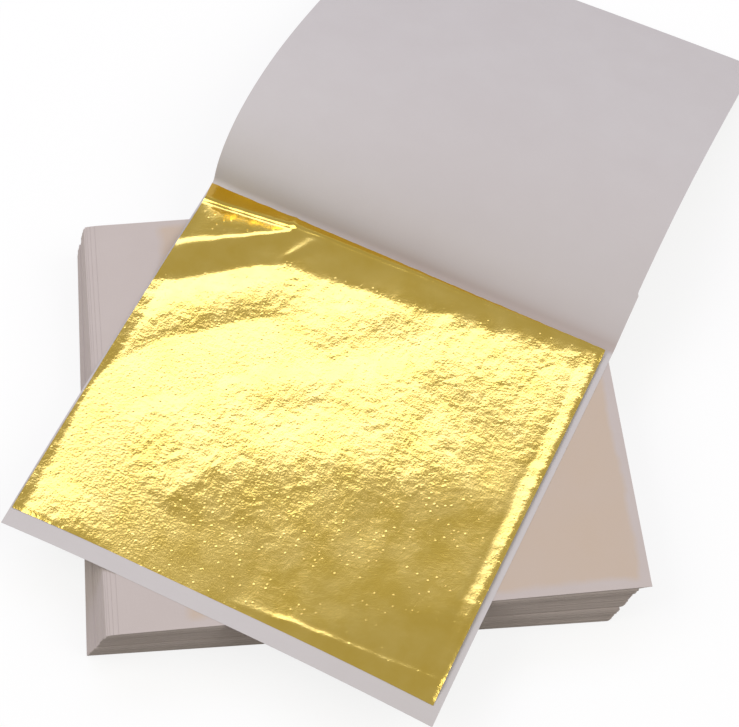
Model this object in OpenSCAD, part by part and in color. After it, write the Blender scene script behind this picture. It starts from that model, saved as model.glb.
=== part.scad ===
// Booklet of metal leaf: a stack of folded tissue folios, each holding one leaf,
// with the uppermost folio opened on top to show its leaf.
// Millimetres, +Z up, origin at the centre of the lowest folio's underside.
// In every folio the fold is the spine, and the opposite side is the open edge.

/* [Leaf] */
// Length of a leaf along the spine
leaf_w = 85; // [60:1:160]
// Depth of a leaf from the spine side to the open edge
leaf_d = 80; // [60:1:160]
// Thickness of a leaf
leaf_t = 0.005; // [0.003:0.001:0.02]

/* [Paper] */
// Thickness of the tissue
paper_t = 0.05; // [0.03:0.01:0.1]
// Air film between any two sheets that lie on each other
air = 0.007; // [0.004:0.001:0.02]
// Paper beyond each end of a leaf
end_margin = 1; // [0.5:0.5:6]
// Paper between a leaf and the open edge of a closed folio
edge_margin = 1.6; // [0.5:0.1:6]
// Paper between a leaf and the spine of a closed folio
spine_margin = 15.4; // [6:0.2:24]

/* [Stack] */
// Folios in a full gathering
folios_per_gathering = 20; // [8:1:25]
// Sideways lean of the stack from its lowest folio to its top
lean = 3.4; // [0:0.2:8]
// Turn of the top of the stack against its lowest folio, in degrees
twist = 1.5; // [-3:0.5:3]
// How far a gathering sits out of line
jog = 0.35; // [0:0.05:1]
// How far the uppermost closed folio overhangs the gatherings
overhang = 2; // [0:0.2:5]

/* [Open folio] */
// Front left corner of the open page, to the right of the origin
open_x = -62.9; // [-75:0.1:-45]
// Front left corner of the open page, behind the origin
open_y = -20.7; // [-35:0.1:-10]
// Turn of the open folio against the stack, in degrees
open_turn = -30.6; // [-45:0.2:-10]
// Paper in front of the open leaf
front_margin = 3.4; // [1:0.2:8]
// Paper between the open leaf and the fold behind it
rear_margin = 0.6; // [0.3:0.1:4]
// Width of the raised strip between the fold and the crease
strip_w = 12.5; // [8:0.5:20]
// Slope of that strip at its left end, in degrees
strip_rise = 44.5; // [20:0.5:50]
// Slope of that strip at its right end, in degrees
strip_rise_right = 19.5; // [10:0.5:50]
// Width of the arched stretch between the crease and the bend of the flap
arch_w = 21.5; // [12:0.5:30]
// Slope of the arched stretch at its left end, in degrees
arch_rise = 1.5; // [-5:0.5:10]
// Slope of the arched stretch at its right end, in degrees
arch_rise_right = 5.5; // [-5:0.5:10]
// Height of that arch above a straight line
arch_bow = 1.2; // [0.4:0.1:2]
// How far the flap reaches past the page when it is closed
flap_lip = 4.5; // [0:0.5:8]
// Height of the flap's free edge above the table
tip_height = 4.1; // [1:0.1:10]
// Height of the flap's own arch above a straight line
flap_bow = 1.6; // [0.4:0.1:2.4]

/* [Hidden] */
// Folios that lie loose on the last gathering, below the open one
LOOSE = 4;
GATHERINGS = 5;
// Flat facets round a fold
FOLD_STEPS = 4;
// Facets of a curved sheet from its left end to its right end, and along its bow
WARP_STEPS = 12;
BOW_STEPS = 8;
// Bare paper left out beside each bend of the open folio
bend_gap = 0.06;
// Height of the fold's axis above the open page
fold_lift = 0.03;

page_w = leaf_w + 2 * end_margin;
page_d = edge_margin + leaf_d + spine_margin;
pocket = leaf_t + 2 * air;
folio_t = 2 * paper_t + pocket;
pitch = folio_t + air;
last_count = folios_per_gathering - LOOSE - 1;
closed_count = (GATHERINGS - 1) * folios_per_gathering + last_count + LOOSE;
stack_h = closed_count * pitch;

open_d = front_margin + leaf_d + rear_margin;
flap_w = open_d - strip_w - arch_w + flap_lip;

paper_colour = [0.80, 0.77, 0.775];
flap_colour = [0.77, 0.745, 0.75];
leaf_colour = [0.86, 0.70, 0.24];

// Folios in one gathering, and folios that lie below it
function folio_count(g) = g < GATHERINGS ? folios_per_gathering : last_count;
function folios_below(g) = (g - 1) * folios_per_gathering;

// Height of a folio in the stack as a share of the whole stack
function share(k) = k / closed_count;

// Points of an arc about the origin
function arc(r, from, to, steps) =
    [for (i = [0:steps]) r * [cos(from + (to - from) * i / steps), sin(from + (to - from) * i / steps)]];

// Points of the same arc from its far end back
function arc_back(r, from, to, steps) = arc(r, to, from, steps);

// Moves a list of points
function moved(points, by) = [for (p = points) p + by];

// Point at a given slope and distance from another
function reach(from, slope, distance) = from + distance * [cos(slope), sin(slope)];

// Depth and height of each line across the open folio, at its left and its right end
fold = [open_d + bend_gap / 2, paper_t + fold_lift];
crease_left = reach(fold, strip_rise, strip_w);
crease_right = reach(fold, strip_rise_right, strip_w);
bend_left = reach(crease_left, arch_rise, arch_w);
bend_right = reach(crease_right, arch_rise_right, arch_w);

// Far end of the flap, which dips to the same height all along
function tip(bend) = reach(bend, -asin((stack_h + bend.y - tip_height) / flap_w), flap_w);
tip_left = tip(bend_left);
tip_right = tip(bend_right);

// Section through a closed folio: two pages joined by a round fold at the left
module folio_section(depth) {
    outer = folio_t / 2;
    inner = pocket / 2;
    polygon(concat(
        moved(arc(outer, 90, 270, FOLD_STEPS), [outer, outer]),
        [[depth, 0], [depth, paper_t]],
        moved(arc_back(inner, 90, 270, FOLD_STEPS), [outer, outer]),
        [[depth, folio_t - paper_t], [depth, folio_t]]
    ));
}

// A closed folio, centred on its own middle, with its spine to the left
module folio_paper() {
    translate([-page_d / 2, page_w / 2, 0])
        rotate([90, 0, 0])
            linear_extrude(height = page_w)
                folio_section(page_d);
}

// The leaf inside a closed folio
module folio_leaf() {
    translate([-page_d / 2 + spine_margin, -leaf_w / 2, paper_t + air])
        cube([leaf_d, leaf_w, leaf_t]);
}

// Place of folio number k of the stack, counted from the table, and its own offset
module in_stack(k, offset) {
    translate([lean * share(k) + offset.x, offset.y, k * pitch])
        rotate([0, 0, twist * share(k)])
            children();
}

// A gathering is never quite in line with the one below, apart from the lowest
function gathering_offset(g) = g == 1 ? [0, 0] : jog * [sin(140 * g), cos(100 * g)];

module gathering(g) {
    for (i = [0:folio_count(g) - 1])
        in_stack(folios_below(g) + i, gathering_offset(g))
            children();
}

module gathering_papers(g) {
    color(paper_colour)
        gathering(g)
            folio_paper();
}

module gathering_leaves(g) {
    color(leaf_colour)
        gathering(g)
            folio_leaf();
}

// Loose folios creep out over the open edge, the uppermost furthest
module loose(j) {
    in_stack(closed_count - LOOSE + j - 1, [overhang * pow(j / LOOSE, 2), 0])
        children();
}

module closed_folio_paper(j) {
    color(paper_colour)
        loose(j)
            folio_paper();
}

module closed_folio_leaf(j) {
    color(leaf_colour)
        loose(j)
            folio_leaf();
}

// Frame of the open folio: origin at the page's front left corner, fold along X
module on_open_folio() {
    translate([open_x, open_y, stack_h])
        rotate([0, 0, open_turn])
            children();
}

// Page that the open leaf lies on
module open_folio_page() {
    color(paper_colour)
        on_open_folio()
            cube([page_w, open_d, paper_t]);
}

// The leaf on show
module open_folio_leaf() {
    color(leaf_colour)
        on_open_folio()
            translate([end_margin, front_margin, paper_t + air])
                cube([leaf_w, leaf_d, leaf_t]);
}

// Middle line of a sheet in section, between two lines that it stops short of
function middle_line(from, to, bow, steps) =
    let (along = (to - from) / norm(to - from), up = [-along.y, along.x])
    let (start = from + bend_gap * along, end = to - bend_gap * along)
    [for (i = [0:steps]) let (t = i / steps) start + t * (end - start) + 4 * bow * t * (1 - t) * up];

// Closed outline of that sheet in section, with the paper's thickness
function sheet_outline(from, to, bow, steps) =
    let (along = (to - from) / norm(to - from), half = [-along.y, along.x] * paper_t / 2)
    let (line = middle_line(from, to, bow, steps))
    concat([for (p = line) p + half], [for (i = [steps:-1:0]) line[i] - half]);

// Two triangles between one side of an outline and the next, cut along one line on both faces
function side(a, b, next_a, next_b, is_upper) =
    is_upper ? [[a, b, next_a], [b, next_b, next_a]] : [[a, b, next_b], [a, next_b, next_a]];

// Narrow strips that close one end of a skin
function end_strips(first, around, is_left) =
    [for (j = [0:around / 2 - 2])
        let (strip = [j, j + 1, around - 2 - j, around - 1 - j])
        [for (k = [0:3]) first + strip[is_left ? 3 - k : k]]];

// Skin over outlines that stand side by side along the fold
module skin(outlines) {
    count = len(outlines);
    around = len(outlines[0]);
    last = (count - 1) * around;
    polyhedron(
        points = [for (i = [0:count - 1]) for (p = outlines[i]) [page_w * i / (count - 1), p.x, p.y]],
        faces = concat(
            end_strips(0, around, true),
            end_strips(last, around, false),
            [for (i = [0:count - 2]) for (j = [0:around - 1])
                let (a = i * around + j, b = i * around + (j + 1) % around)
                each side(a, b, a + around, b + around, j < around / 2)]
        )
    );
}

// Sheet between two lines that run across the folio, each given by its left and right end
module warped_sheet(from_left, from_right, to_left, to_right, bow, steps) {
    skin([for (i = [0:WARP_STEPS])
        let (a = i / WARP_STEPS)
        let (from = from_left + a * (from_right - from_left), to = to_left + a * (to_right - to_left))
        sheet_outline(from, to, bow, steps)]);
}

// Strip of paper that rises behind the leaf, from the fold to the crease
module open_folio_spine() {
    color(flap_colour)
        on_open_folio()
            warped_sheet(fold, fold, crease_left, crease_right, 0, 1);
}

// Arched stretch behind the strip, from the crease to the bend
module open_folio_arch() {
    color(flap_colour)
        on_open_folio()
            warped_sheet(crease_left, crease_right, bend_left, bend_right, arch_bow, BOW_STEPS);
}

// The rest of the turned-back page, from the bend to its free edge
module open_folio_flap() {
    color(flap_colour)
        on_open_folio()
            warped_sheet(bend_left, bend_right, tip_left, tip_right, flap_bow, BOW_STEPS);
}

gathering_papers(1);  // gathering_1_papers
gathering_leaves(1);  // gathering_1_leaves
gathering_papers(2);  // gathering_2_papers
gathering_leaves(2);  // gathering_2_leaves
gathering_papers(3);  // gathering_3_papers
gathering_leaves(3);  // gathering_3_leaves
gathering_papers(4);  // gathering_4_papers
gathering_leaves(4);  // gathering_4_leaves
gathering_papers(5);  // gathering_5_papers
gathering_leaves(5);  // gathering_5_leaves
closed_folio_paper(1);  // closed_folio_1_paper
closed_folio_leaf(1);  // closed_folio_1_leaf
closed_folio_paper(2);  // closed_folio_2_paper
closed_folio_leaf(2);  // closed_folio_2_leaf
closed_folio_paper(3);  // closed_folio_3_paper
closed_folio_leaf(3);  // closed_folio_3_leaf
closed_folio_paper(4);  // closed_folio_4_paper
closed_folio_leaf(4);  // closed_folio_4_leaf
open_folio_page();
open_folio_leaf();
open_folio_spine();
open_folio_arch();
open_folio_flap();
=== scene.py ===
"""Looks of a booklet of beaten metal leaf, whose topmost folio is opened.

It has a stack of closed tissue folios, the opened sheet that lies across it in one curve, and
the leaf on show with its crinkles, its crease and its curled lip. Shapes are worked out in
millimetres and put in the scene in metres.
"""

import math
import random

import bmesh
import bpy
import numpy as np
from mathutils import Matrix, Quaternion, Vector, noise


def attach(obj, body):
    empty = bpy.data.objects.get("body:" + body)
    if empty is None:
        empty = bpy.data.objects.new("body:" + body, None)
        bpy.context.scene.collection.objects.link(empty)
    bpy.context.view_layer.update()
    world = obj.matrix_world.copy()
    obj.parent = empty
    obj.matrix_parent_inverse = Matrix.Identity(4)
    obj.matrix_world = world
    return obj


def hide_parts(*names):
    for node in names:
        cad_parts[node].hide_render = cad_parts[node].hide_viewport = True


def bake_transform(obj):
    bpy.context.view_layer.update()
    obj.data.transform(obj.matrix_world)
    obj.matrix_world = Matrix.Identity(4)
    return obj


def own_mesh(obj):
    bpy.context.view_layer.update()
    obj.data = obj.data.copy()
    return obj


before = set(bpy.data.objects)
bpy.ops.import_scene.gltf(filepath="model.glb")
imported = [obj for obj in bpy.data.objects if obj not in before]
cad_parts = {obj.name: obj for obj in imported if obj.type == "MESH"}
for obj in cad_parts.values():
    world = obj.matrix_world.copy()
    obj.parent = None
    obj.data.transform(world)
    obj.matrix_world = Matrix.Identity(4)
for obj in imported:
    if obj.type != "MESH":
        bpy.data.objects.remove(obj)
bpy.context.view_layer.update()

# Sizes in millimetres, the same as in the part's source but for the jog, which is less here
PAPER = 0.05
AIR = 0.007
LEAF_T = 0.005
PAGE_W = 87.0  # along the spine
PAGE_D = 97.0  # from the spine to the open edge of a closed folio
FOLIO_T = 2 * PAPER + LEAF_T + 2 * AIR
PITCH = FOLIO_T + AIR
CLOSED = 99
STACK_H = CLOSED * PITCH
LEAN = 3.4  # sideways, over the height of the stack
TWIST = 1.5  # in degrees, over the same height
JOG = 0.15
OVERHANG = 2.0
PER_GATHERING = 20
LOOSE = 4

# The opened sheet: its front left corner and its turn in degrees, then as distances from its
# front edge where its pieces meet and where it ends
OPEN_X, OPEN_Y, OPEN_TURN = -62.9, -20.7, -30.6
SEAM_1 = 94.0
SEAM_2 = 107.0
SHEET_END = 172.5

# The leaf on show: its left and right edge and its front edge on the page, and its thickness,
# which is more than that of a real leaf
LEAF_U0, LEAF_U1 = 0.4, 85.9
LEAF_V0 = 3.4
LEAF_WALL = 0.012

IN_METRES = Matrix.Scale(0.001, 4)
OPEN_PLACE = (
    IN_METRES
    @ Matrix.Translation((OPEN_X, OPEN_Y, STACK_H))
    @ Matrix.Rotation(math.radians(OPEN_TURN), 4, "Z")
)


def smooth(x, low, high):
    """0 below low, 1 above high, and a smooth step between them."""
    t = min(1.0, max(0.0, (x - low) / (high - low)))
    return t * t * (3 - 2 * t)


def step(x, low, high):
    """The same step for a whole array."""
    t = np.clip((x - low) / (high - low), 0, 1)
    return t * t * (3 - 2 * t)


def bell(x, middle, width):
    """A soft hump, 1 at its middle."""
    return math.exp(-(((x - middle) / width) ** 2))


def along(points, x):
    """Height at x, or at each x of an array, of a line through these points."""
    return np.interp(x, *zip(*points))


def walk(slope, length):
    """Depth and height of a line of these slopes in radians, each of which is one step long."""
    return [
        np.concatenate([[0], np.cumsum(part * length)[:-1]])
        for part in (np.cos(slope), np.sin(slope))
    ]


def new_object(name, data):
    thing = bpy.data.objects.new(name, data)
    bpy.context.scene.collection.objects.link(thing)
    return thing


def mesh_object(name, bm, material):
    """Puts a finished mesh in the scene with its material."""
    mesh = bpy.data.meshes.new(name)
    bm.to_mesh(mesh)
    bm.free()
    mesh.materials.append(material)
    return new_object(name, mesh)


def finish_piece(name, bm, body, material, replaced, place):
    """Puts a piece in its place in the row frame, on its body if it is given one."""
    bm.transform(place)
    piece = mesh_object(name, bm, material)
    if body:
        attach(piece, body)
    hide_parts(*replaced)
    return piece


def add_thickness(piece, thickness):
    """A live wall, centred on the surface, with its edges closed."""
    wall = piece.modifiers.new("wall", "SOLIDIFY")
    wall.thickness = thickness / 1000
    wall.offset = 0
    wall.use_even_offset = True


# ---- Shape of the opened sheet --------------------------------------------------------------

# Slope in degrees against the distance along the paper from its front edge, at either end
SLOPES_LEFT = [
    (0, 0), (81.8, 0), (83.4, 8), (84.6, 67), (86.5, 61), (90, 42), (96, 22),
    (101, 9), (108, -1), (118, -11), (130, -17), (150, -21), (172.6, -22),
]
SLOPES_RIGHT = [
    (0, 0), (82, 0), (83.6, 3), (84.6, 24), (87, 22), (92, 18), (98, 14), (104, 9),
    (110, 3), (117, -4), (125, -10), (135, -15), (150, -19), (172.6, -22),
]
# The shape is worked out in steps along this many lines and one more, side by side
STEP = 0.1
ALONG = np.arange(0, SHEET_END + 1, STEP)
LINES = 20

# How strongly the page hangs down past the stack, to the left and to the front, and the
# stretch over which that fades, because behind the fold the sheet carries itself
DROOP_LEFT, DROOP_FRONT = 0.0032, 0.0052
DROOP_FADES, DROOP_GONE = 84, 100


def profile(share):
    """Depth and height of the sheet along one line, at a share of the way from left to right."""
    left, right = along(SLOPES_LEFT, ALONG), along(SLOPES_RIGHT, ALONG)
    return walk(np.radians(left + share * (right - left)), STEP)


PROFILES = [profile(i / LINES) for i in range(LINES + 1)]


def top_folio_frame(x, y):
    """A place in the row frame, seen from the middle of the uppermost closed folio."""
    turn = math.radians(-TWIST)
    x -= LEAN + OVERHANG
    return (x * math.cos(turn) - y * math.sin(turn), x * math.sin(turn) + y * math.cos(turn))


def droop(u, depth):
    """How far the page hangs down where it reaches past the stack."""
    turn = math.radians(OPEN_TURN)
    x = OPEN_X + u * math.cos(turn) - depth * math.sin(turn)
    y = OPEN_Y + u * math.sin(turn) + depth * math.cos(turn)
    x, y = top_folio_frame(x, y)
    left = max(0.0, -PAGE_D / 2 - x)
    front = max(0.0, -PAGE_W / 2 - y)
    return DROOP_LEFT * left * left + DROOP_FRONT * front * front


def sheet_point(u, s, lift):
    """A point above the opened sheet, u to the right of its left edge and s along it."""
    share = min(1.0, max(0.0, u / PAGE_W)) * LINES
    i = min(LINES - 1, int(share))
    f = share - i
    k = min(len(ALONG) - 2, int(s / STEP))
    g = s / STEP - k

    def at(array):
        return array[k] * (1 - g) + array[k + 1] * g

    (y0, z0), (y1, z1) = PROFILES[i], PROFILES[i + 1]
    y = at(y0) * (1 - f) + at(y1) * f
    z = at(z0) * (1 - f) + at(z1) * f
    left = along(SLOPES_LEFT, s)
    slope = math.radians(left + u / PAGE_W * (along(SLOPES_RIGHT, s) - left))
    y -= lift * math.sin(slope)
    z += lift * math.cos(slope)
    return Vector((u, y, z - droop(u, y) * (1 - smooth(s, DROOP_FADES, DROOP_GONE))))


# ---- Tools for materials ---------------------------------------------------------------------


def plug(tree, node, inputs):
    """Sets each of these inputs to its value, or links it to the output that is given."""
    for key, value in inputs.items():
        if isinstance(value, bpy.types.NodeSocket):
            tree.links.new(value, node.inputs[key])
        else:
            node.inputs[key].default_value = value
    return node


def add(tree, kind, inputs, **settings):
    node = tree.nodes.new("ShaderNode" + kind)
    for key, value in settings.items():
        setattr(node, key, value)
    return plug(tree, node, inputs)


def maths(tree, operation, a, b):
    return add(tree, "Math", {0: a, 1: b}, operation=operation).outputs[0]


def remap(tree, value, low, high, to_low=0.0, to_high=1.0):
    return add(tree, "MapRange", {
        "Value": value, "From Min": low, "From Max": high, "To Min": to_low, "To Max": to_high,
    }).outputs["Result"]


def window(tree, value, rise_from, rise_to, fall_from, fall_to, most=1.0):
    """A share that rises to its most over one span and falls to nothing over another."""
    rises = remap(tree, value, rise_from, rise_to, 0.0, most)
    falls = remap(tree, value, fall_from, fall_to, 1.0, 0.0)
    return maths(tree, "MULTIPLY", rises, falls)


def noise_of(tree, vector, scale, detail, roughness):
    return add(tree, "TexNoise", {
        "Vector": vector, "Scale": scale, "Detail": detail, "Roughness": roughness,
    }).outputs["Fac"]


def cells_of(tree, vector, scale, rarity):
    """Distance from the middle of each cell, and 1 in the cells that chance picks."""
    cells = add(
        tree, "TexVoronoi", {"Vector": vector, "Scale": scale, "Randomness": 1.0}, feature="F1"
    ).outputs
    chance = add(tree, "SeparateColor", {"Color": cells["Color"]}).outputs[0]
    return cells["Distance"], maths(tree, "GREATER_THAN", chance, rarity)


def mix(tree, factor, a, b):
    return add(tree, "Mix", {0: factor, 6: a, 7: b}, data_type="RGBA").outputs[2]


def new_group(name, inputs, outputs):
    """An empty group with named sockets, what it is given and where it ends."""
    group = bpy.data.node_groups.new(name, "ShaderNodeTree")
    for side, sockets in (("INPUT", inputs), ("OUTPUT", outputs)):
        for socket, kind in sockets:
            group.interface.new_socket(socket, in_out=side, socket_type="NodeSocket" + kind)
    given = group.nodes.new("NodeGroupInput").outputs
    return group, given, group.nodes.new("NodeGroupOutput")


def new_material(name):
    material = bpy.data.materials.new(name)
    material.use_nodes = True
    tree = material.node_tree
    tree.nodes.clear()
    return material, tree


def show(tree, shader):
    """Makes a shader the material's surface."""
    out = tree.nodes.new("ShaderNodeOutputMaterial")
    tree.links.new(shader.outputs[0], out.inputs["Surface"])


# ---- Tissue ----------------------------------------------------------------------------------

PAPER_LIGHT = (0.592, 0.566, 0.564, 1)
PAPER_DARK = (0.568, 0.538, 0.535, 1)
PAPER_WARM_LIGHT = (0.558, 0.498, 0.476, 1)
PAPER_WARM_DARK = (0.534, 0.472, 0.449, 1)
PAPER_TINTED = (0.556, 0.450, 0.362, 1)
# The next two are painted light: painted shade on the opened sheet near its fold, and the painted
# shadow of the leaf's lip along the crease
PAPER_PAINTED_SHADE = (0.470, 0.414, 0.400, 1)
PAPER_PAINTED_LIP_SHADOW = (0.474, 0.412, 0.392, 1)
SPECK = (0.33, 0.26, 0.24, 1)

CLOUD_SCALE = 95.0
# Two layers of fibres that cross: how each is squeezed, turned and scaled
FIBRE_LAYERS = (
    ((1.0, 0.22, 1.0), 0.35, 2600.0),
    ((0.25, 1.0, 1.0), -0.2, 2300.0),
)
SPECK_SPACING, SPECK_RARITY, SPECK_SIZE = 75.0, 0.90, 0.022
FIBRE_RELIEF = 0.00006  # in metres

# Where the leaf below shows through, in metres from the spine and from the front of a folio:
# where the tint starts to rise, is full, starts to fall and is gone
TINT_ACROSS = (0.0118, 0.0136, 0.0946, 0.0957)
TINT_ALONG = (0.0012, 0.0026, 0.0850, 0.0862)
TINT_WANDER = 0.0012
# Painted shade of the opened sheet where it is folded and bent, and the painted shadow of the
# leaf's lip,
# in metres from its front edge: the same four places for each, and its most
PAINTED_FOLD_SHADE = (
    (PAPER_PAINTED_LIP_SHADOW, 0.0830, 0.0838, 0.0852, 0.0882, 1.0),
    (PAPER_PAINTED_SHADE, 0.0852, 0.0882, 0.0882, 0.0930, 0.45),
    (PAPER_PAINTED_SHADE, 0.0880, 0.0930, 0.1000, 0.1400, 0.25),
)
# They grow from nothing to full strength between these distances from the left edge
BENT_FROM, BENT_TO = 0.005, 0.045


def tissue_group():
    """Fibres, cloudiness and stray specks of thin tissue, shared by every paper."""
    group, given, end = new_group(
        "tissue_fibres", (("Vector", "Vector"),),
        (("Cloud", "Float"), ("Speck", "Float"), ("Height", "Float")),
    )
    place = given["Vector"]
    cloud = noise_of(group, place, CLOUD_SCALE, 4.0, 0.6)
    layers = []
    for squeeze, turn, scale in FIBRE_LAYERS:
        laid = add(group, "Mapping", {
            "Vector": place, "Scale": squeeze, "Rotation": (0, 0, turn),
        })
        layers.append(noise_of(group, laid.outputs[0], scale, 3.0, 0.6))
    grain = maths(group, "MULTIPLY", maths(group, "ADD", *layers), 0.5)
    distance, rare = cells_of(group, place, SPECK_SPACING, SPECK_RARITY)
    dot = maths(group, "LESS_THAN", distance, SPECK_SIZE)
    plug(group, end, {
        "Cloud": maths(
            group, "ADD", maths(group, "MULTIPLY", cloud, 0.7), maths(group, "MULTIPLY", grain, 0.3)
        ),
        "Speck": maths(group, "MULTIPLY", rare, dot),
        "Height": grain,
    })
    return group


TISSUE = tissue_group()


def tint_of_leaf(tree, place, colour):
    """Tints the paper over its leaf, with a wavy edge and paler blotches."""
    parts = add(tree, "SeparateXYZ", {"Vector": place}).outputs
    wander = remap(tree, noise_of(tree, place, 120.0, 3.0, 0.55), 0, 1, -TINT_WANDER, TINT_WANDER)
    mask = maths(
        tree, "MULTIPLY",
        window(tree, maths(tree, "ADD", parts["X"], wander), *TINT_ACROSS),
        window(tree, maths(tree, "ADD", parts["Y"], wander), *TINT_ALONG),
    )
    blotch = remap(tree, noise_of(tree, place, 60.0, 4.0, 0.55), 0.3, 0.7, 0.72, 1.0)
    return mix(tree, maths(tree, "MULTIPLY", mask, blotch), colour, PAPER_TINTED)


def paint_fold_shade(tree, place, colour):
    """Paints shade on the paper where it is folded and bent, and the shadow of the leaf's lip."""
    parts = add(tree, "SeparateXYZ", {"Vector": place}).outputs
    across = remap(tree, parts["X"], BENT_FROM, BENT_TO)
    for tone, *spans in PAINTED_FOLD_SHADE:
        share = maths(tree, "MULTIPLY", window(tree, parts["Y"], *spans), across)
        colour = mix(tree, share, colour, tone)
    return colour


def tissue_material(name, dark, light, extra):
    """Thin matt tissue between two shades, with what is extra to this sheet in its colour."""
    material, tree = new_material(name)
    place = add(tree, "UVMap", {}, uv_map="paper").outputs["UV"]
    fibres = add(tree, "Group", {"Vector": place}, node_tree=TISSUE).outputs
    colour = mix(tree, remap(tree, fibres["Cloud"], 0.3, 0.7), dark, light)
    colour = extra(tree, place, colour)
    colour = mix(tree, maths(tree, "MULTIPLY", fibres["Speck"], 0.6), colour, SPECK)
    bump = add(tree, "Bump", {
        "Height": fibres["Height"], "Strength": 0.35, "Distance": FIBRE_RELIEF,
    })
    show(tree, add(tree, "BsdfPrincipled", {
        "Base Color": colour,
        "Normal": bump.outputs[0],
        "Roughness": remap(tree, fibres["Cloud"], 0.3, 0.7, 0.78, 0.92),
        "Specular IOR Level": 0.25,
    }))
    return material


# the opened sheet's tissue, with painted shade and a painted lip shadow by its fold
TISSUE_PLAIN = tissue_material("tissue", PAPER_DARK, PAPER_LIGHT, paint_fold_shade)
TISSUE_TINTED = tissue_material(
    "tissue_over_leaf", PAPER_WARM_DARK, PAPER_WARM_LIGHT, tint_of_leaf
)


# ---- Beaten metal ----------------------------------------------------------------------------

GOLD_BRIGHT = (0.95, 0.725, 0.195, 1)
GOLD_DEEP = (0.92, 0.680, 0.145, 1)
TONE_SCALE = 140.0
COARSE_GRAIN, FINE_GRAIN = 950.0, 2300.0
PIMPLE_SPACING, PIMPLE_RARITY = 900.0, 0.55
PIMPLE_TOP, PIMPLE_FOOT = 0.02, 0.26
METAL_RELIEF = 0.00004  # in metres


def metal_group():
    """Tone, grain and pimples of beaten metal, shared by every leaf."""
    group, given, end = new_group(
        "beaten_metal", (("Vector", "Vector"), ("Grain", "Float"), ("Pimples", "Float")),
        (("Tone", "Float"), ("Height", "Float")),
    )
    place = given["Vector"]
    coarse = noise_of(group, place, COARSE_GRAIN, 2.0, 0.6)
    fine = noise_of(group, place, FINE_GRAIN, 1.0, 0.5)
    grain = maths(group, "ADD", coarse, maths(group, "MULTIPLY", fine, 0.5))
    distance, chosen = cells_of(group, place, PIMPLE_SPACING, PIMPLE_RARITY)
    dome = remap(group, distance, PIMPLE_TOP, PIMPLE_FOOT, 1.0, 0.0)
    pimples = maths(group, "MULTIPLY", maths(group, "MULTIPLY", chosen, dome), given["Pimples"])
    plug(group, end, {
        "Tone": remap(group, noise_of(group, place, TONE_SCALE, 4.0, 0.6), 0.35, 0.65),
        "Height": maths(
            group, "ADD", maths(group, "MULTIPLY", grain, given["Grain"]),
            maths(group, "MULTIPLY", pimples, 0.65),
        ),
    })
    return group


METAL = metal_group()


def gold_material(name, on_show):
    """Bright beaten metal leaf. The one on show is smoother where it isn't crinkled."""
    material, tree = new_material(name)
    if on_show:
        crinkled = add(tree, "Attribute", {}, attribute_name="crinkle").outputs["Fac"]
        surface = {
            "Vector": add(tree, "UVMap", {}, uv_map="leaf").outputs["UV"],
            "Grain": remap(tree, crinkled, 0.0, 1.0, 0.12, 1.0),
            "Pimples": remap(tree, crinkled, 0.1, 0.4),
        }
    else:
        place = add(tree, "TexCoord", {}).outputs["Object"]
        surface = {"Vector": place, "Grain": 1.0, "Pimples": 1.0}
    metal = add(tree, "Group", surface, node_tree=METAL).outputs
    bump = add(tree, "Bump", {
        "Height": metal["Height"], "Strength": 1.0, "Distance": METAL_RELIEF,
    })
    show(tree, add(tree, "BsdfPrincipled", {
        "Base Color": mix(tree, metal["Tone"], GOLD_DEEP, GOLD_BRIGHT),
        "Metallic": 1.0,
        "Normal": bump.outputs[0],
        "Roughness": remap(tree, metal["Tone"], 0.0, 1.0, 0.14, 0.18),
    }))
    return material


GOLD = gold_material("beaten_leaf", True)
GOLD_INSIDE = gold_material("beaten_leaf_inside", False)


# ---- Closed folios ---------------------------------------------------------------------------

SPINE_STEPS = 4  # of the half turn round a spine
# How far each sheet strays from its gathering, turns in degrees and is trimmed short
STRAY, STRAY_TURN, TRIM = 0.06, 0.03, 0.10
# The outermost sheets of a gathering stand back and are shorter, which parts the bands
OUTER_BACK, OUTER_TRIM, OUTER_POWER = 0.05, 0.18, 8


def add_folio(bm, uv, place, strips, length, width):
    """One closed folio with its spine to the left, made of strips across its width."""
    middle = FOLIO_T / 2
    reach = middle - PAPER / 2
    line = [(length - PAGE_D / 2, PAPER / 2)]
    for i in range(SPINE_STEPS + 1):
        angle = math.radians(270 - 180 / SPINE_STEPS * i)
        x = -PAGE_D / 2 + middle + reach * math.cos(angle)
        line.append((x, middle + reach * math.sin(angle)))
    line.append((length - PAGE_D / 2, FOLIO_T - PAPER / 2))
    start = [bm.verts.new((x, -width / 2, z)) for x, z in line]
    row = [bm.edges.new(pair) for pair in zip(start, start[1:])]
    faces = []
    for _ in range(strips):
        made = bmesh.ops.extrude_edge_only(bm, edges=row)["geom"]
        moved = [g for g in made if isinstance(g, bmesh.types.BMVert)]
        bmesh.ops.translate(bm, verts=moved, vec=(0, width / strips, 0))
        faces += [g for g in made if isinstance(g, bmesh.types.BMFace)]
        row = [
            g for g in made
            if isinstance(g, bmesh.types.BMEdge) and all(v in moved for v in g.verts)
        ]
    for face in faces:
        for loop in face.loops:
            x, y, _ = loop.vert.co
            loop[uv].uv = ((x + PAGE_D / 2) / 1000, (y + PAGE_W / 2) / 1000)
    bmesh.ops.transform(bm, matrix=place, verts=list({v for f in faces for v in f.verts}))


def in_stack(k, x, y, turn=0.0):
    """Place of folio number k, counted from the table."""
    share = k / CLOSED
    return (
        Matrix.Translation((LEAN * share + x, y, k * PITCH))
        @ Matrix.Rotation(math.radians(TWIST * share + turn), 4, "Z")
    )


def put_in_order(bm):
    """Sorts edges and faces by their corners, because extruding orders them anew each run."""
    bm.verts.index_update()
    count = len(bm.verts)

    def key(part):
        corners = [vert.index for vert in part.verts]
        return min(corners) * count + max(corners)

    bm.edges.sort(key=key)
    bm.faces.sort(key=key)


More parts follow.
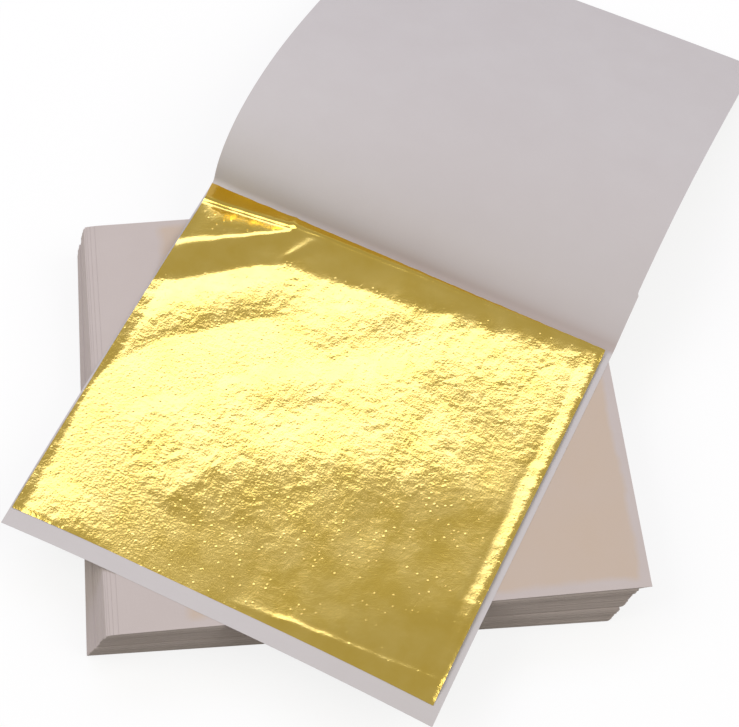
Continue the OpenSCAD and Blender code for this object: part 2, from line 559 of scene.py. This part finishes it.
def folded_piece(name, body, node, folios, strips):
    """Closed folios as one piece, each with its place and how much it is trimmed."""
    bm = bmesh.new()
    uv = bm.loops.layers.uv.new("paper")
    for place, trim in folios:
        add_folio(bm, uv, place, strips, PAGE_D - trim, PAGE_W - trim)
    put_in_order(bm)
    piece = finish_piece(name, bm, body, TISSUE_TINTED, [node], IN_METRES)
    add_thickness(piece, PAPER)


def stack_pieces():
    draw = random.Random(7)
    for g in range(1, 6):
        count = PER_GATHERING if g < 5 else PER_GATHERING - LOOSE - 1
        jog_x = JOG * math.sin(math.radians(140 * g)) if g > 1 else 0
        jog_y = JOG * math.cos(math.radians(100 * g)) if g > 1 else 0
        folios = []
        for i in range(count):
            outer = abs(2 * i / (count - 1) - 1) ** OUTER_POWER
            dx = jog_x + draw.uniform(-STRAY, STRAY) - OUTER_BACK * outer
            dy = jog_y + draw.uniform(-STRAY, STRAY)
            trim = draw.uniform(0, TRIM) + OUTER_TRIM * outer
            turn = draw.uniform(-STRAY_TURN, STRAY_TURN)
            folios.append((in_stack((g - 1) * PER_GATHERING + i, dx, dy, turn), trim))
        folded_piece(
            f"gathering_{g}_folios", f"gathering_{g}", f"gathering_{g}_papers", folios, strips=3
        )
    for j in range(1, LOOSE + 1):
        place = in_stack(CLOSED - LOOSE + j - 1, OVERHANG * (j / LOOSE) ** 2, 0)
        folded_piece(
            f"closed_folio_{j}_tissue", f"closed_folio_{j}", f"closed_folio_{j}_paper",
            [(place, 0)], strips=8,
        )


# ---- The opened folio ------------------------------------------------------------------------

SHEET_COLUMNS = 60
# The front of the sheet is wider by this much, up to a small step in its right edge
FRONT_WIDER, STEP_FROM, STEP_TO = 0.35, 96.2, 96.6
# Pieces of the sheet: name, where it starts and ends, rows, the two bodies that meet at its joint,
# the nodes that it stands for, and depth and height where the bend at that joint starts and ends
STRETCHES = (
    ("open_folio_sheet_front", 0.0, SEAM_1, 188, ("open_page", "open_spine"),
     ("open_folio_page", "open_folio_spine"), (84.0, 0.08), (90.3, 6.5)),
    ("open_folio_sheet_middle", SEAM_1, SEAM_2, 26, ("open_spine", "open_arch"),
     ("open_folio_arch",), (93.4, 5.0), (98.0, 6.5)),
    ("open_folio_sheet_back", SEAM_2, SHEET_END, 80, ("open_arch", "open_flap"),
     ("open_folio_flap",), (108.5, 8.0), (120.5, 7.2)),
)


def grid(bm, columns, rows, on_sheet, in_space, uv_name):
    """A sheet made from a plain grid, and where on the sheet each of its points lies.

    on_sheet turns shares from 0 to 1 into distances on the sheet, which are its UV map too,
    and in_space turns those into a point.
    """
    uv = bm.loops.layers.uv.new(uv_name)
    bmesh.ops.create_grid(bm, x_segments=columns, y_segments=rows, size=0.5)
    places = {vert: on_sheet(vert.co.x + 0.5, vert.co.y + 0.5) for vert in bm.verts}
    for vert, place in places.items():
        vert.co = in_space(*place)
    for face in bm.faces:
        face.smooth = True
        for loop in face.loops:
            u, s = places[loop.vert]
            loop[uv].uv = (u / 1000, s / 1000)
    for edge in bm.edges:
        edge.smooth = not edge.is_boundary
    return places


def sheet_piece(name, s0, s1, rows, bodies, nodes, low, high):
    """One stretch of the opened sheet in its bent shape, on no body."""

    def on_sheet(a, b):
        s = s0 + b * (s1 - s0)
        return a * (PAGE_W + FRONT_WIDER * (1 - smooth(s, STEP_FROM, STEP_TO))), s

    def in_space(u, s):
        return sheet_point(u, s, PAPER / 2)

    bm = bmesh.new()
    grid(bm, SHEET_COLUMNS, rows, on_sheet, in_space, "paper")
    piece = finish_piece(name, bm, None, TISSUE_PLAIN, nodes, OPEN_PLACE)
    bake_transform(piece)
    add_thickness(piece, PAPER)


# ---- The leaf on show ------------------------------------------------------------------------

LEAF_COLUMNS = 220
LEAF_ROWS = 215
LEAF_STEP = 0.05
LEAF_BASE = 0.10  # its height over the page
LEAF_LEAST = 0.02  # and its least height at any point
EDGE_DROP = 0.3  # at most, at its front and right edges
REAR_FROM, REAR_RISE = 74.0, 0.0073  # where it starts to rise on the left, and how strongly

# Lines across the leaf, as distance to the right and distance from the page's front edge.
# Behind this one the crinkled field gives way to a smooth rise.
BAND = [
    (0, 57.2), (5, 59.6), (12, 65.5), (20, 71.2), (30, 73.0),
    (45, 74.5), (61, 77.0), (77, 78.8), (86, 80.0),
]
# The crest of a crease that runs from the left edge to the fold
CREST = [(0, 67.0), (19.7, 79.6), (20.5, 82.0), (90, 95.0)]
# The valley in which the leaf turns up before the fold, how far it goes on from there and how
# steeply, in degrees
VALLEY = [(0, 78.6), (8, 79.2), (19.7, 79.9), (40, 80.8), (86, 82.2)]
LIP_LENGTH = [(0, 4.9), (12, 3.6), (20, 2.7), (50, 1.7), (86, 1.0)]
LIP_SLOPE = [(0, 71), (30, 73), (60, 71), (86, 66)]

# Slopes of the rise behind the field and of the fall behind the crest, and what either gains
# or loses from left to right
RISE, FALL, CHANGE = 0.150, 0.150, 0.035
UPTURN = 0.36  # slope behind the valley
DOWNTURN = 0.14  # slope by which the front edge turns down
LIP_LEAN = 0.25  # how far the end of the lip leans in, for its height

# Shallow dents of the field: middle, reach across and deep, skew, and how far they lean back
DENTS = [
    (21.0, 60.5, 10.0, 11.0, 0.6, 0.050),
    (9.0, 50.0, 9.0, 11.0, 0.3, 0.046),
    (3.0, 38.0, 6.0, 10.0, 0.0, 0.040),
    (35.0, 60.0, 8.0, 7.0, 0.3, 0.030),
    (47.0, 70.5, 7.0, 8.0, 0.2, 0.055),
    (38.0, 48.0, 9.0, 6.0, 0.6, 0.022),
    (72.0, 48.0, 14.0, 10.0, 0.1, -0.012),
    (45.0, 18.0, 16.0, 13.0, 0.0, 0.024),
    (46.0, 32.0, 17.0, 11.0, 0.3, 0.024),
    (5.0, 13.0, 10.0, 11.0, 0.0, -0.030),
    (62.0, 62.0, 9.0, 6.0, -0.3, 0.020),
]
# Faint straight creases: both ends, height, which is below zero for a valley, and reach to
# either side
CREASES = [
    ((30.8, 28.5), (24.5, 17.0), 0.12, 4.0),
    ((6.0, 16.5), (32.0, 7.2), -0.22, 4.0),
]
# Small crinkles: height, factors on the distances across and deep, size and seed
CRINKLES = [
    (0.0100, 1, 1, 3.9, 11.3),
    (0.0095, 0.92, 1, 2.1, 21.7),
    (0.0080, 1, 0.9, 1.25, 31.9),
]


def soft_along(points, u):
    """The same line with its corners rounded."""
    return sum(along(points, u + shift) for shift in (-3.0, -1.5, 0.0, 1.5, 3.0)) / 5


def ripple(u, v, across, deep, seed):
    """Smooth noise from -1 to 1, with waves of this size."""
    return noise.noise(Vector((u / across, v / deep, seed)))


def wave(u, size, seed):
    """The same along one line."""
    return ripple(u, seed, size, 1, 0.0)


def leaf_column(u):
    """Distance along one line of the leaf, and its depth and height there, without crinkles."""
    valley = along(VALLEY, u)
    length = along(LIP_LENGTH, u) + 0.12 * wave(u, 2.5, 4.0)
    s = np.arange(LEAF_V0, valley + length + LEAF_STEP, LEAF_STEP)
    band = soft_along(BAND, u)
    blur = 1 + 1.2 * smooth(u, 40, 75)
    rise = RISE + CHANGE * (1 - smooth(u, 0, 20)) - CHANGE * smooth(u, 20, 60)
    slope = rise * step(s, band - 0.8 * blur, band + 1.8 * blur)
    # the crease folds the leaf down again, and is rounder towards the left edge
    fall = FALL + CHANGE * smooth(u, 0, 7)
    crest = along(CREST, u) + 0.3 * wave(u, 4.0, 3.0)
    round_off = 2.2 - 1.4 * smooth(u, 0, 19)
    fold = crest - 1.1 * round_off, crest + 0.9 * round_off
    folded = (rise + fall) * (1 - smooth(u, 19.0, 20.5))
    slope -= folded * step(s, *fold)
    # behind the valley it rises again, whatever its slope was before
    before = rise - folded * smooth(valley - 0.45, *fold)
    slope += (UPTURN - before) * step(s, valley - 0.45, valley + 0.5)
    # the front edge turns down towards the right-hand corner, behind a faint ridge
    turned = LEAF_V0 + 0.6 + 0.075 * max(0.0, u - 40) + 0.3 * wave(u, 6.0, 5.0)
    slope += DOWNTURN * (1 - step(s, turned - 0.3, turned + 0.3)) * smooth(u, 35, 55)
    ridge = 0.08 * smooth(u, 45, 60) + 0.08 * smooth(u, 58, 80)
    slope -= 1.3 * ridge * np.exp(-(((s - turned - 0.6) / 0.5) ** 2))
    # past the valley the leaf soon stands up steeply
    quick = min(1.1, 0.6 * length)
    upright = (
        0.85 * step(s, valley + 0.3, valley + 0.3 + quick)
        + 0.15 * step(s, valley + quick, valley + length)
    )
    depth, height = walk(
        np.arctan(slope) + math.radians(along(LIP_SLOPE, u) - 20) * upright, LEAF_STEP
    )
    return s, LEAF_V0 + depth, height


COLUMNS = [
    leaf_column(LEAF_U0 + i / LEAF_COLUMNS * (LEAF_U1 - LEAF_U0)) for i in range(LEAF_COLUMNS + 1)
]


def column_at(u):
    return COLUMNS[round((u - LEAF_U0) / (LEAF_U1 - LEAF_U0) * LEAF_COLUMNS)]


def crinkle(u, v):
    """Height of the small crinkles: sharp creases between rounded cells."""
    warp_u = u + 1.2 * ripple(u, v, 5, 5, 3.1)
    warp_v = v + 1.2 * ripple(u, v, 5, 5, 8.7)
    return sum(
        height * (1 - 4 * abs(ripple(warp_u * across, warp_v * deep, size, size, seed)))
        for height, across, deep, size, seed in CRINKLES
    )


def in_wedge(u, v):
    """1 between the crest and the valley of the crease, 0 elsewhere."""
    valley = along(VALLEY, u)
    behind_crest = smooth(v - along(CREST, u), -1.5, 0.6)
    before_valley = 1 - smooth(v, valley - 0.5, valley + 0.3)
    return behind_crest * before_valley * (1 - smooth(u, 18, 20))


def strength(u, v):
    """How strongly the leaf is crinkled there, from 0 to 1."""
    band = soft_along(BAND, u)
    smooth_band = (0.88 - 0.3 * smooth(u, 40, 75)) * smooth(v, band - 0.5, band + 3.0)
    calm_corner = 0.70 * smooth(u * 0.75 - v * 0.95 + 12 * ripple(u, v, 14, 14, 51.0), -6, 26)
    rim = 0.8 * (1 - smooth(LEAF_U1 - u, 0.5, 3.5))
    return max((1 - smooth_band) * (1 - calm_corner), 0.35 * in_wedge(u, v), rim)


def tent(u, v, start, end, height, reach):
    """A straight crease that fades out to both sides and at both ends."""
    (u0, v0), (u1, v1) = start, end
    length = math.hypot(u1 - u0, v1 - v0)
    t = ((u - u0) * (u1 - u0) + (v - v0) * (v1 - v0)) / length ** 2
    off = ((u - u0) * (v1 - v0) - (v - v0) * (u1 - u0)) / length
    ends = smooth(t, -0.15, 0.15) * (1 - smooth(t, 0.85, 1.15))
    return height * math.exp(-abs(off) / reach) * ends


def tip_crease(u, v):
    """A short crease beside the tip of the wedge, which widens and rises on its way back."""
    share = (v - 74) / 6.5
    if not -0.3 < share < 1.2:
        return 0.0
    wide = 0.7 + 1.3 * max(0.0, share)
    ends = smooth(share, -0.3, 0.2) * (1 - smooth(share, 0.8, 1.2))
    return 0.10 * (1 + share) * bell(u, 21.2 + 4.6 * share, wide) * ends


def rims(u, v):
    """Both rims curl up a little, the right one behind a faint groove."""
    wander = 0.5 * ripple(v, 0, 9, 1, 81.0) + 0.4 * ripple(v, 0, 2.2, 1, 84.0)
    right, left = LEAF_U1 - u, u - LEAF_U0
    lifted = smooth(v, 5, 12) * (1 - 0.6 * smooth(v, 60, 75))
    return (
        0.060 * lifted * max(0.0, 3.0 + 1.2 * wander - right) ** 1.2
        - 0.025 * bell(right, 3.4 + 1.3 * wander, 0.6)
        + 0.10 * max(0.0, 2.0 + 0.7 * wander - left) ** 1.2 * (1 - smooth(v, 60, 68))
    )


def leaf_relief(u, v):
    """What swells, dents, creases, rims and crinkles add to the height of the leaf."""
    height = 0.055 * ripple(u, v, 19, 15, 61.0) + 0.018 * ripple(u, v, 8, 6, 71.0)
    for at_u, at_v, across, deep, skew, lean in DENTS:
        off = v - at_v - skew * (u - at_u)
        height += lean * off * bell(u, at_u, across) * bell(off, 0, deep)
    for crease in CREASES:
        height += tent(u, v, *crease)
    # the border between field and rise is ragged
    ragged = 0.050 * ripple(u, v, 4.5, 3, 91.0) + 0.016 * ripple(u, v, 1.7, 1.3, 95.0)
    height += bell(v, soft_along(BAND, u), 3.2) * ragged
    return height + tip_crease(u, v) + rims(u, v) + strength(u, v) * crinkle(u, v)


def on_leaf(a, b):
    """Distance to the right and along the leaf, at shares of its width and length."""
    u = LEAF_U0 + a * (LEAF_U1 - LEAF_U0)
    s = column_at(u)[0]
    return u, s[0] + b * (s[-1] - s[0])


def leaf_point(u, v):
    """A point of the leaf on show, whose rear edge curls up in front of the fold."""
    s, depths, heights = column_at(u)
    depth, rise = np.interp(v, s, depths), np.interp(v, s, heights)
    valley = along(VALLEY, u)
    height = LEAF_BASE + rise + leaf_relief(u, v) * (1 - smooth(v, valley, valley + 2))
    # the front and right edges come down towards the page
    height -= min(height, EDGE_DROP) * (1 - smooth(min(LEAF_U1 - u, v - LEAF_V0), -1.0, 1.0))
    # the rear rises a little to the left, clear of the page
    height += REAR_RISE * (1 - u / PAGE_W) * max(0.0, depth - REAR_FROM) ** 2
    point = sheet_point(u, depth, PAPER)
    point.z += max(LEAF_LEAST, height)
    # the end of the lip leans in from the left
    lip = max(0.0, rise - np.interp(valley, s, heights))
    point.x += LIP_LEAN * lip * (1 - smooth(u, 0, 30))
    return point


def leaf_on_show():
    bm = bmesh.new()
    layer = bm.verts.layers.float.new("crinkle")
    places = grid(bm, LEAF_COLUMNS, LEAF_ROWS, on_leaf, leaf_point, "leaf")
    for vert, place in places.items():
        vert[layer] = strength(*place)
    piece = finish_piece(
        "beaten_leaf_on_show", bm, "open_leaf", GOLD, ["open_folio_leaf"], OPEN_PLACE
    )
    add_thickness(piece, LEAF_WALL)
    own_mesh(piece)


stack_pieces()
for stretch in STRETCHES:
    sheet_piece(*stretch)
leaf_on_show()
# the leaves inside the closed folios stay the solids they are
for name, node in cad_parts.items():
    if name.endswith("leaves") or (name.startswith("closed") and name.endswith("leaf")):
        node.data.materials.clear()
        node.data.materials.append(GOLD_INSIDE)


# ---- Floor, light and camera, in metres ------------------------------------------------------

FLOOR_HALF = 3.0
FLOOR_DEPTH = 0.0001  # below the lowest folio
FLOOR_GLOW = 0.82  # share of plain white in the floor that is seen
FLOOR_GREY = (0.34, 0.34, 0.34, 1)
FLOOR_PALE = (0.98, 0.98, 0.98, 1)
FLOOR_WHITE = (1, 1, 1, 1)
WORLD_COLOUR, WORLD_STRENGTH = (1.0, 0.94, 0.81, 1), 0.42

LAMP_AIM = Vector((0.0, 0.01, 0.01))
SOFT_WHITE = (0.995, 0.985, 0.975)
# Name, direction in degrees from the back to the right, height and roll in degrees, distance,
# width and height across, radiance, colour
SOFTBOXES = (
    ("back_softbox", -5.0, 53.9, 3.0, 1.2, 1.30, 0.42, 1.9, (0.94, 0.97, 1.46)),
    ("left_softbox", -90.0, 48.0, 0.0, 1.3, 0.9, 0.8, 2.8, SOFT_WHITE),
    ("right_softbox", 105.0, 50.0, 0.0, 1.3, 0.9, 0.8, 2.35, SOFT_WHITE),
)

# The camera looks this far to the right of straight back, down and rolled, in degrees
CAMERA_TURN, CAMERA_DOWN, CAMERA_ROLL = 9.424, 60.589, 5.008
CAMERA_PLACE = Vector((-0.02466, -0.18617, 0.36084))
SENSOR = 36.0
FOCAL_PIXELS, FRAME_PIXELS = 2080, 739


def direction(turn, height):
    """Away from the middle, turned from the back to the right, and up, in radians."""
    return Vector((
        math.sin(turn) * math.cos(height), math.cos(turn) * math.cos(height), math.sin(height)
    ))


def floor_material():
    """Grey where it lights the object, and nearly white where it is seen or mirrored."""
    material, tree = new_material("floor")
    path = add(tree, "LightPath", {}).outputs
    seen = maths(tree, "MAXIMUM", path["Is Camera Ray"], path["Is Glossy Ray"])
    seen = maths(tree, "MAXIMUM", seen, path["Is Transmission Ray"])
    grey = add(tree, "BsdfDiffuse", {"Color": FLOOR_GREY}).outputs[0]
    pale = add(tree, "BsdfDiffuse", {"Color": FLOOR_PALE}).outputs[0]
    white = add(tree, "Emission", {"Color": FLOOR_WHITE, "Strength": 1.0}).outputs[0]
    shown = add(tree, "MixShader", {0: FLOOR_GLOW, 1: pale, 2: white}).outputs[0]
    show(tree, add(tree, "MixShader", {0: seen, 1: grey, 2: shown}))
    return material


def studio():
    bm = bmesh.new()
    bmesh.ops.create_grid(bm, x_segments=1, y_segments=1, size=FLOOR_HALF)
    floor = mesh_object("floor", bm, floor_material())
    floor.location.z = -FLOOR_DEPTH

    world = bpy.data.worlds.new("studio")
    bpy.context.scene.world = world
    world.use_nodes = True
    background = world.node_tree.nodes["Background"]
    plug(world.node_tree, background, {"Color": WORLD_COLOUR, "Strength": WORLD_STRENGTH})

    for name, turn, height, roll, distance, wide, tall, radiance, colour in SOFTBOXES:
        lamp = bpy.data.lights.new(name, "AREA")
        lamp.shape = "RECTANGLE"
        lamp.size, lamp.size_y = wide, tall
        lamp.color = colour
        lamp.energy = radiance * math.pi * wide * tall
        away = direction(math.radians(turn), math.radians(height))
        holder = new_object(name, lamp)
        holder.location = LAMP_AIM + away * distance
        holder.rotation_mode = "QUATERNION"
        rolled = Quaternion((0, 0, 1), math.radians(roll))
        holder.rotation_quaternion = away.to_track_quat("Z", "Y") @ rolled


def camera():
    """Stands where the photograph was taken from, with its lens."""
    forward = direction(math.radians(CAMERA_TURN), -math.radians(CAMERA_DOWN))
    roll = math.radians(CAMERA_ROLL)
    right = forward.cross(Vector((0, 0, 1))).normalized()
    up = right.cross(forward)
    across = right * math.cos(roll) + up * math.sin(roll)
    above = up * math.cos(roll) - right * math.sin(roll)
    lens = bpy.data.cameras.new("camera")
    lens.sensor_width = SENSOR
    lens.lens = FOCAL_PIXELS / FRAME_PIXELS * SENSOR
    lens.clip_start, lens.clip_end = 0.01, 10
    holder = new_object("camera", lens)
    place = Matrix((across, above, -forward)).transposed().to_4x4()
    place.translation = CAMERA_PLACE
    holder.matrix_world = place
    bpy.context.scene.camera = holder


studio()
camera()
bpy.context.scene.view_settings.view_transform = "Standard"
